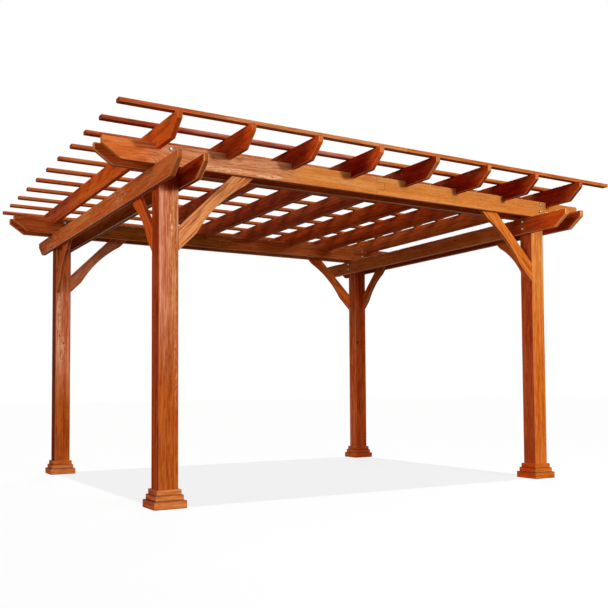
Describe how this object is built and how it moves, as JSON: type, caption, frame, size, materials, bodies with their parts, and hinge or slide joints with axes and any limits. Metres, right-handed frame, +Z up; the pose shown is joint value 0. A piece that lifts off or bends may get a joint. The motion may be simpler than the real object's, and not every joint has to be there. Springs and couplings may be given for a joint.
{
  "type": "pergola",
  "caption": "Free-standing timber pergola: square posts on stepped bases carry paired side beams and headers, notched rafters, shade slats and arched knee braces.",
  "frame": {"origin": "on the ground, midway between the posts", "axes": "X along the headers and slats, left to right; Y along the side beams and rafters, front to rear; Z up"},
  "size_m": [4.35, 3.794, 2.554],
  "materials": {
    "post_timber": "stained and oiled, satin",
    "trim_timber": "stained and oiled, satin",
    "brace_timber": "stained and oiled, satin",
    "beam_timber": "stained and oiled, satin",
    "rafter_timber": "stained and oiled, satin",
    "slat_timber": "stained and oiled, satin",
    "bolt_steel": "zinc-plated, slightly dulled"
  },
  "bodies": {
    "root": {"post_front_left": "post_timber", "base_trim_front_left": "trim_timber", "header_brace_front_left": "brace_timber", "beam_brace_front_left": "brace_timber", "post_front_right": "post_timber", "base_trim_front_right": "trim_timber", "header_brace_front_right": "brace_timber", "beam_brace_front_right": "brace_timber", "post_rear_left": "post_timber", "base_trim_rear_left": "trim_timber", "header_brace_rear_left": "brace_timber", "beam_brace_rear_left": "brace_timber", "post_rear_right": "post_timber", "base_trim_rear_right": "trim_timber", "header_brace_rear_right": "brace_timber", "beam_brace_rear_right": "brace_timber", "side_beam_left_outer": "beam_timber", "side_beam_left_inner": "beam_timber", "side_beam_right_outer": "beam_timber", "side_beam_right_inner": "beam_timber", "header_front_outer": "beam_timber", "header_front_inner": "beam_timber", "header_rear_inner": "beam_timber", "header_rear_outer": "beam_timber", "rafter_1": "rafter_timber", "rafter_2": "rafter_timber", "rafter_3": "rafter_timber", "rafter_4": "rafter_timber", "rafter_5": "rafter_timber", "rafter_6": "rafter_timber", "rafter_7": "rafter_timber", "rafter_8": "rafter_timber", "slat_1": "slat_timber", "slat_2": "slat_timber", "slat_3": "slat_timber", "slat_4": "slat_timber", "slat_5": "slat_timber", "slat_6": "slat_timber", "slat_7": "slat_timber", "slat_8": "slat_timber", "slat_9": "slat_timber", "slat_10": "slat_timber", "slat_11": "slat_timber"}
  },
  "joints": []
}
